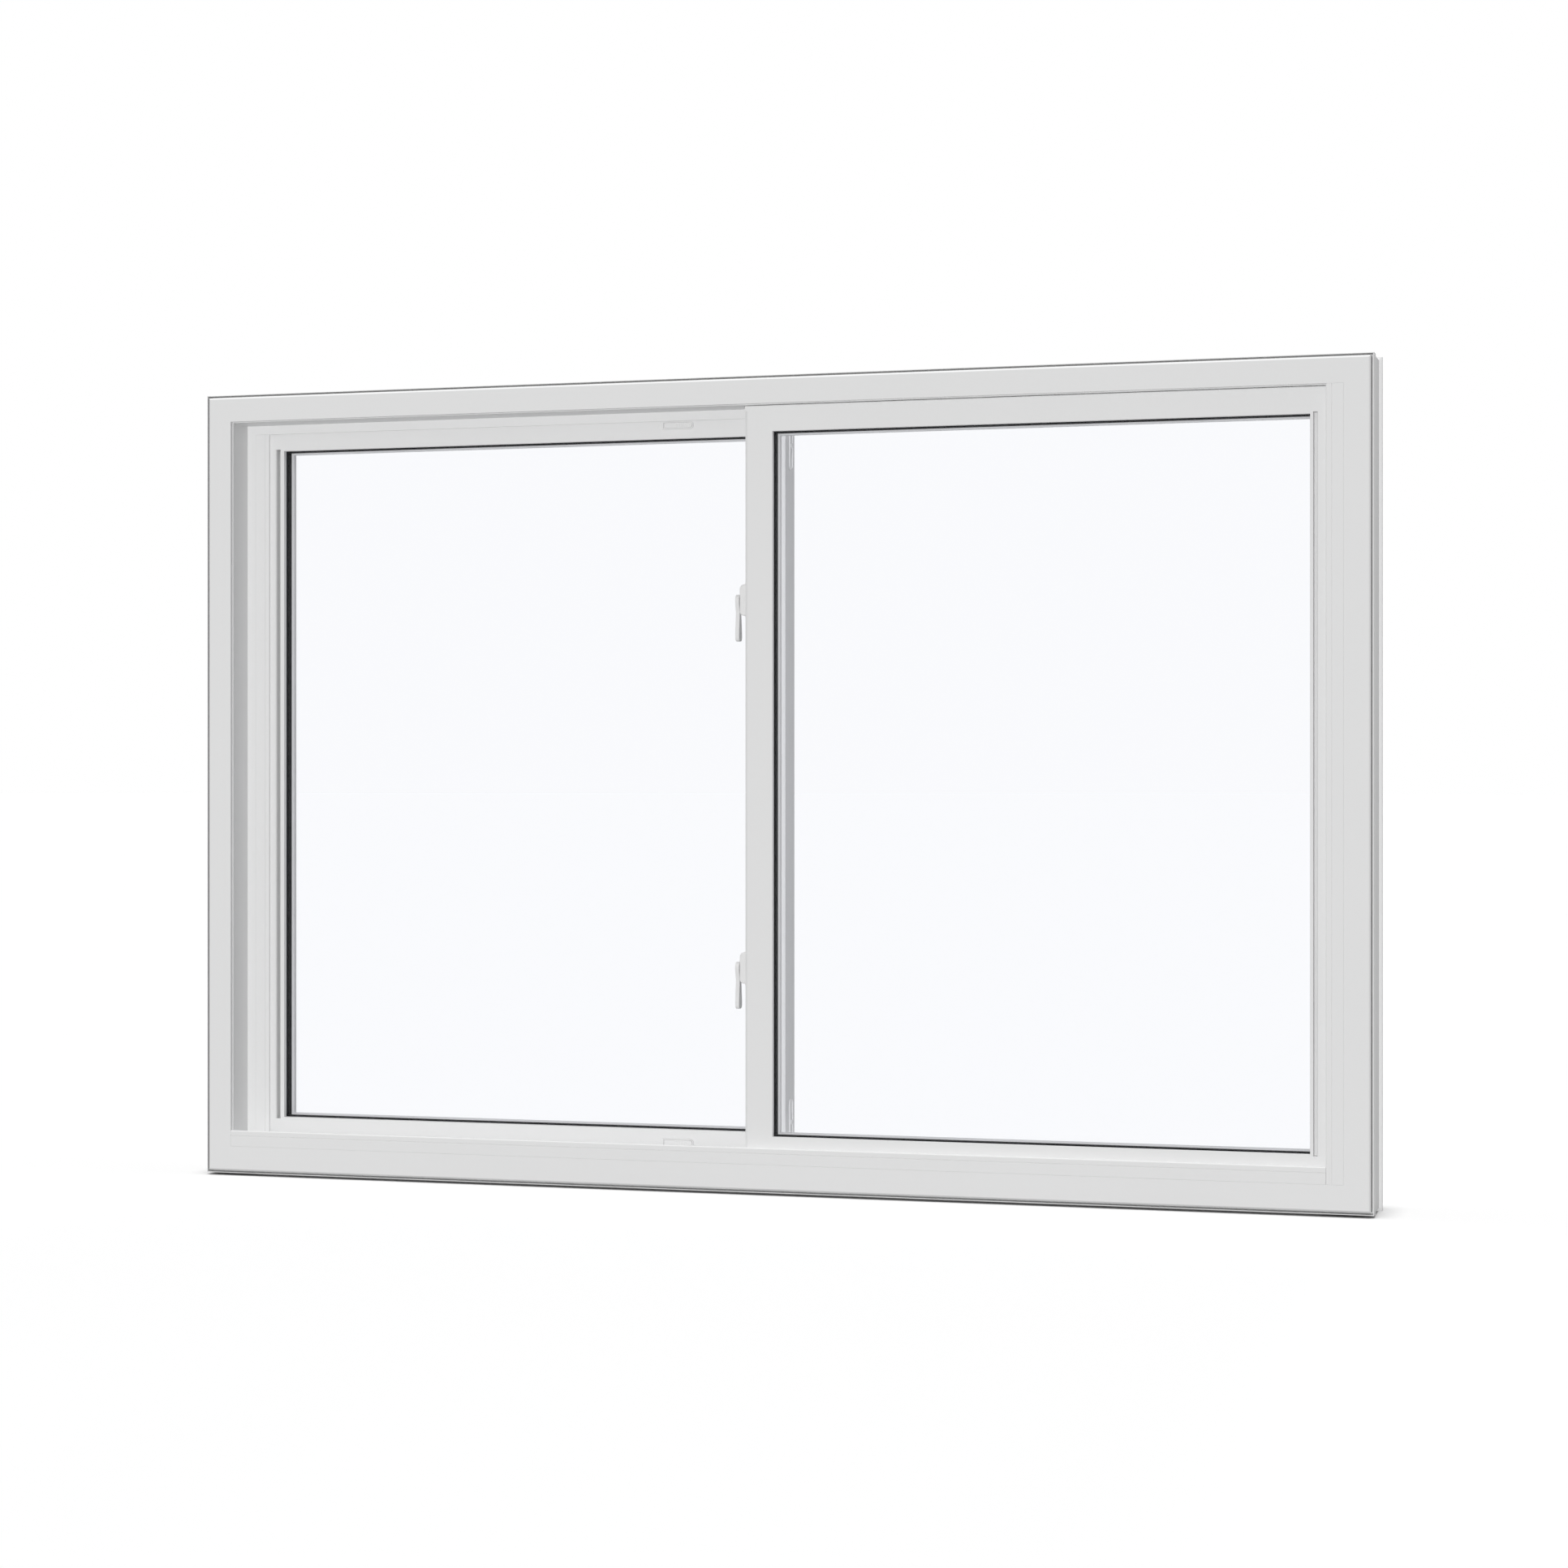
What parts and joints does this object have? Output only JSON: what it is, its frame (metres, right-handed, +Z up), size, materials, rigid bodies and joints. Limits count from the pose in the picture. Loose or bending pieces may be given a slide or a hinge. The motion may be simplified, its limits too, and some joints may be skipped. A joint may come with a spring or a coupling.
{
  "type": "horizontal sliding window",
  "caption": "White vinyl horizontal sliding window: mitred frame, two double-glazed sashes in side-by-side tracks, cam locks on the meeting stile and vent latches.",
  "frame": {"origin": "bottom centre of the frame's box, on the floor under the sill", "axes": "+X to the right seen from the room, +Y towards the outside, +Z up"},
  "size_m": [1.363, 0.088, 0.919],
  "materials": {
    "vinyl_frame": "satin",
    "vinyl_sash": "satin",
    "vinyl_trim": "satin",
    "glass": "clear",
    "spacer": "matt",
    "nylon": "satin",
    "lock_finish": "satin",
    "plate": "satin",
    "latch_plastic": "satin"
  },
  "bodies": {
    "frame": {"frame_head": "vinyl_frame", "frame_sill": "vinyl_frame", "frame_jamb_left": "vinyl_frame", "frame_jamb_right": "vinyl_frame", "sill_dam": "vinyl_trim", "jamb_strip_left": "vinyl_trim", "jamb_strip_right": "vinyl_trim"},
    "interior_sash": {"interior_top_rail": "vinyl_sash", "interior_bottom_rail": "vinyl_sash", "interior_meeting_stile": "vinyl_sash", "interior_pull_stile": "vinyl_sash", "interior_pane_room": "glass", "interior_pane_outside": "glass", "interior_spacer": "spacer", "interior_rollers": "nylon", "interior_top_bead": "vinyl_sash", "interior_bottom_bead": "vinyl_sash", "interior_meeting_bead": "vinyl_sash", "interior_pull_bead": "vinyl_sash", "lock_base_upper": "lock_finish", "lock_base_lower": "lock_finish"},
    "exterior_sash": {"exterior_top_rail": "vinyl_sash", "exterior_bottom_rail": "vinyl_sash", "exterior_meeting_stile": "vinyl_sash", "exterior_pull_stile": "vinyl_sash", "exterior_pane_room": "glass", "exterior_pane_outside": "glass", "exterior_spacer": "spacer", "exterior_rollers": "nylon", "exterior_top_bead": "vinyl_sash", "exterior_bottom_bead": "vinyl_sash", "exterior_meeting_bead": "vinyl_sash", "exterior_pull_bead": "vinyl_sash", "keeper_upper": "lock_finish", "keeper_lower": "lock_finish", "end_plate_upper": "plate", "end_plate_lower": "plate", "vent_housing_upper": "latch_plastic", "vent_housing_lower": "latch_plastic"},
    "lock_lever_upper": {"lock_lever_upper": "lock_finish"},
    "vent_tab_upper": {"vent_tab_upper": "latch_plastic"},
    "lock_lever_lower": {"lock_lever_lower": "lock_finish"},
    "vent_tab_lower": {"vent_tab_lower": "latch_plastic"}
  },
  "joints": [
    {"name": "interior_slide", "type": "slide", "parent": "frame", "child": "interior_sash", "axis": [-1, 0, 0], "range_m": [0, 0.6]},
    {"name": "exterior_slide", "type": "slide", "parent": "frame", "child": "exterior_sash", "axis": [1, 0, 0], "range_m": [0, 0.6]},
    {"name": "lock_turn_upper", "type": "hinge", "parent": "interior_sash", "child": "lock_lever_upper", "pos_m": [-0.0294, -0.0213, 0.6662], "axis": [-1, 0, 0], "range_deg": [0, 175]},
    {"name": "lock_turn_lower", "type": "hinge", "parent": "interior_sash", "child": "lock_lever_lower", "pos_m": [-0.0294, -0.0213, 0.2528], "axis": [-1, 0, 0], "range_deg": [0, 175]},
    {"name": "vent_swing_upper", "type": "hinge", "parent": "exterior_sash", "child": "vent_tab_upper", "pos_m": [-0.12685, 0.0058, 0.869], "axis": [0, 0, 1], "range_deg": [-20, 0]},
    {"name": "vent_swing_lower", "type": "hinge", "parent": "exterior_sash", "child": "vent_tab_lower", "pos_m": [-0.12685, 0.0058, 0.05], "axis": [0, 0, 1], "range_deg": [-20, 0]}
  ]
}
